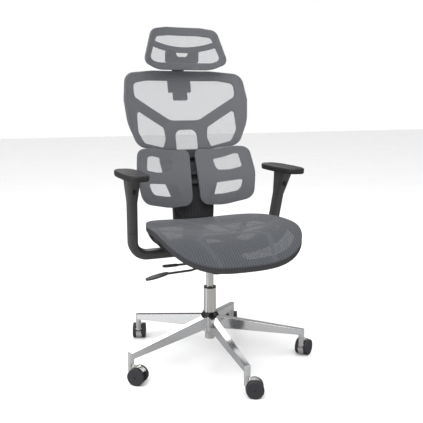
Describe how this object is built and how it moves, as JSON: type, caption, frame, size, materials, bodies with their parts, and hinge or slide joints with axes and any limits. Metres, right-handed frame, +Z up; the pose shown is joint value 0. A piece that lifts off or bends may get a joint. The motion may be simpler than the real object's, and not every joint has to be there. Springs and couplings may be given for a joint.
{
  "type": "swivel office chair",
  "caption": "Ergonomic swivel office chair with a mesh seat, a divided mesh back with two lumbar wings, a mesh headrest, adjustable arms and a polished five-star base.",
  "frame": {"origin": "swivel axis at floor level", "axes": "+Z up, -Y the way the sitter faces, +X the sitter's left"},
  "size_m": [0.7395, 0.7409, 1.238],
  "materials": {
    "polished_aluminium": "polished",
    "chrome": "polished",
    "steel": "zinc plated",
    "black_plastic": "fine moulded grain",
    "arm_plastic": "satin",
    "painted_steel": "black powder coat",
    "wheel_nylon": "matte",
    "soft_pad": "soft matte skin",
    "rubber": "matte",
    "mesh_fabric": "open elastic weave"
  },
  "bodies": {
    "base": {"star_base": "polished_aluminium", "base_ring": "black_plastic", "column_tube": "chrome", "column_bush": "black_plastic", "thrust_bearing": "steel"},
    "lift_rod": {"piston_rod": "steel", "column_clip": "steel"},
    "chassis": {"gas_cylinder": "chrome", "mechanism_housing": "painted_steel", "mechanism_cover": "black_plastic", "back_pivot_pin": "steel", "seat_pivot_pins": "steel", "torsion_sleeve": "rubber", "lever_pin": "steel"},
    "gas_button": {"release_button": "black_plastic"},
    "height_handle": {"height_lever": "black_plastic"},
    "tilt_handle": {"tilt_lever": "black_plastic"},
    "seat": {"seat_pan": "black_plastic", "seat_web": "black_plastic", "seat_frame": "black_plastic", "seat_mesh": "mesh_fabric", "arm_bolts": "steel", "arm_bracket_left": "arm_plastic", "arm_bracket_right": "arm_plastic"},
    "back": {"spine": "black_plastic", "spine_cover": "black_plastic", "back_frame": "black_plastic", "back_mesh": "mesh_fabric", "back_bolts": "steel", "headrest_socket": "black_plastic", "lumbar_yoke": "black_plastic", "lumbar_pins": "steel"},
    "lumbar_wing_left": {"lumbar_frame_left": "black_plastic", "lumbar_mesh_left": "mesh_fabric"},
    "lumbar_wing_right": {"lumbar_frame_right": "black_plastic", "lumbar_mesh_right": "mesh_fabric"},
    "headrest_slider": {"headrest_post": "black_plastic"},
    "headrest": {"headrest_bracket": "black_plastic", "headrest_frame": "black_plastic", "headrest_mesh": "mesh_fabric", "headrest_pin": "steel"},
    "arm_upper_right": {"arm_sleeve_right": "arm_plastic"},
    "arm_release_right": {"arm_button_right": "arm_plastic"},
    "arm_turntable_right": {"arm_plate_right": "arm_plastic"},
    "arm_rest_right": {"arm_pad_right": "soft_pad"},
    "arm_upper_left": {"arm_sleeve_left": "arm_plastic"},
    "arm_release_left": {"arm_button_left": "arm_plastic"},
    "arm_turntable_left": {"arm_plate_left": "arm_plastic"},
    "arm_rest_left": {"arm_pad_left": "soft_pad"},
    "caster_front": {"caster_hood_front": "chrome"},
    "wheels_front": {"caster_wheels_front": "wheel_nylon"},
    "caster_front_left": {"caster_hood_front_left": "chrome"},
    "wheels_front_left": {"caster_wheels_front_left": "wheel_nylon"},
    "caster_rear_left": {"caster_hood_rear_left": "chrome"},
    "wheels_rear_left": {"caster_wheels_rear_left": "wheel_nylon"},
    "caster_rear_right": {"caster_hood_rear_right": "chrome"},
    "wheels_rear_right": {"caster_wheels_rear_right": "wheel_nylon"},
    "caster_front_right": {"caster_hood_front_right": "chrome"},
    "wheels_front_right": {"caster_wheels_front_right": "wheel_nylon"}
  },
  "joints": [
    {"name": "seat_swivel", "type": "hinge", "parent": "base", "child": "lift_rod", "pos_m": [0, 0, 0.1], "axis": [0, 0, 1], "continuous": true},
    {"name": "seat_height", "type": "slide", "parent": "lift_rod", "child": "chassis", "axis": [0, 0, 1], "range_m": [-0.04, 0.06]},
    {"name": "height_lever_pull", "type": "hinge", "parent": "chassis", "child": "height_handle", "pos_m": [-0.03, -0.13, 0.396], "axis": [0, 1, 0], "range_deg": [0, 6], "stiffness_Nm_per_rad": 2, "springref_deg": -14.32},
    {"name": "gas_button_press", "type": "slide", "parent": "chassis", "child": "gas_button", "axis": [0, 0, -1], "range_m": [0, 0.003]},
    {"name": "tilt_lock_turn", "type": "hinge", "parent": "chassis", "child": "tilt_handle", "pos_m": [-0.1, -0.075, 0.396], "axis": [1, 0, 0], "range_deg": [0, 30]},
    {"name": "back_recline", "type": "hinge", "parent": "chassis", "child": "back", "pos_m": [0, 0.055, 0.397], "axis": [-1, 0, 0], "range_deg": [0, 18], "stiffness_Nm_per_rad": 120, "springref_deg": -17.19},
    {"name": "seat_tilt", "type": "hinge", "parent": "chassis", "child": "seat", "pos_m": [0, -0.11, 0.428], "axis": [-1, 0, 0], "range_deg": [0, 5]},
    {"name": "headrest_height", "type": "slide", "parent": "back", "child": "headrest_slider", "axis": [0, 0.2364, 0.9717], "range_m": [0, 0.05]},
    {"name": "headrest_tilt", "type": "hinge", "parent": "headrest_slider", "child": "headrest", "pos_m": [0, 0.302, 1.121], "axis": [-1, 0, 0], "range_deg": [-15, 15]},
    {"name": "lumbar_flex_right", "type": "hinge", "parent": "back", "child": "lumbar_wing_right", "pos_m": [-0.05, 0.1695, 0.668], "axis": [0, 0.2873, 0.9578], "range_deg": [-4, 4], "stiffness_Nm_per_rad": 12},
    {"name": "lumbar_flex_left", "type": "hinge", "parent": "back", "child": "lumbar_wing_left", "pos_m": [0.05, 0.1695, 0.668], "axis": [0, 0.2873, 0.9578], "range_deg": [-4, 4], "stiffness_Nm_per_rad": 12},
    {"name": "arm_height_right", "type": "slide", "parent": "seat", "child": "arm_upper_right", "axis": [-0.0598, -0.2113, 0.9756], "range_m": [0, 0.07]},
    {"name": "arm_button_press_right", "type": "slide", "parent": "arm_upper_right", "child": "arm_release_right", "axis": [0, 0.9773, 0.2117], "range_m": [0, 0.003], "stiffness_N_per_m": 600, "springref_m": -0.001},
    {"name": "arm_pad_turn_right", "type": "hinge", "parent": "arm_upper_right", "child": "arm_turntable_right", "pos_m": [-0.294, -0.005, 0.69], "axis": [0, 0, 1], "range_deg": [-20, 20]},
    {"name": "arm_pad_slide_right", "type": "slide", "parent": "arm_turntable_right", "child": "arm_rest_right", "axis": [0, 1, 0], "range_m": [-0.03, 0.03]},
    {"name": "arm_height_left", "type": "slide", "parent": "seat", "child": "arm_upper_left", "axis": [0.0598, -0.2113, 0.9756], "range_m": [0, 0.07]},
    {"name": "arm_button_press_left", "type": "slide", "parent": "arm_upper_left", "child": "arm_release_left", "axis": [0, 0.9773, 0.2117], "range_m": [0, 0.003], "stiffness_N_per_m": 600, "springref_m": -0.001},
    {"name": "arm_pad_turn_left", "type": "hinge", "parent": "arm_upper_left", "child": "arm_turntable_left", "pos_m": [0.294, -0.005, 0.69], "axis": [0, 0, 1], "range_deg": [-20, 20]},
    {"name": "arm_pad_slide_left", "type": "slide", "parent": "arm_turntable_left", "child": "arm_rest_left", "axis": [0, 1, 0], "range_m": [-0.03, 0.03]},
    {"name": "caster_swivel_front", "type": "hinge", "parent": "base", "child": "caster_front", "pos_m": [-0.01214, -0.34779, 0.09], "axis": [0, 0, 1], "continuous": true},
    {"name": "wheel_spin_front", "type": "hinge", "parent": "caster_front", "child": "wheels_front", "pos_m": [0.01179, -0.35795, 0.03], "axis": [0.3907, 0.9205, 0], "continuous": true},
    {"name": "caster_swivel_front_left", "type": "hinge", "parent": "base", "child": "caster_front_left", "pos_m": [0.32701, -0.11902, 0.09], "axis": [0, 0, 1], "continuous": true},
    {"name": "wheel_spin_front_left", "type": "hinge", "parent": "caster_front_left", "child": "wheels_front_left", "pos_m": [0.34778, -0.10338, 0.03], "axis": [-0.6018, 0.7986, 0], "continuous": true},
    {"name": "caster_swivel_rear_left", "type": "hinge", "parent": "base", "child": "caster_rear_left", "pos_m": [0.21425, 0.27423, 0.09], "axis": [0, 0, 1], "continuous": true},
    {"name": "wheel_spin_rear_left", "type": "hinge", "parent": "caster_rear_left", "child": "wheels_rear_left", "pos_m": [0.22441, 0.29816, 0.03], "axis": [-0.9205, 0.3907, 0], "continuous": true},
    {"name": "caster_swivel_rear_right", "type": "hinge", "parent": "base", "child": "caster_rear_right", "pos_m": [-0.1946, 0.28851, 0.09], "axis": [0, 0, 1], "continuous": true},
    {"name": "wheel_spin_rear_right", "type": "hinge", "parent": "caster_rear_right", "child": "wheels_rear_right", "pos_m": [-0.18444, 0.31244, 0.03], "axis": [-0.9205, 0.3907, 0], "continuous": true},
    {"name": "caster_swivel_front_right", "type": "hinge", "parent": "base", "child": "caster_front_right", "pos_m": [-0.33452, -0.09592, 0.09], "axis": [0, 0, 1], "continuous": true},
    {"name": "wheel_spin_front_right", "type": "hinge", "parent": "caster_front_right", "child": "wheels_front_right", "pos_m": [-0.31582, -0.11398, 0.03], "axis": [0.6947, 0.7193, 0], "continuous": true}
  ],
  "couplings": [
    {"joint": "seat_tilt", "follows": "back_recline", "ratio": 0.27778},
    {"joint": "gas_button_press", "follows": "height_lever_pull", "m_per_rad": 0.028638}
  ]
}
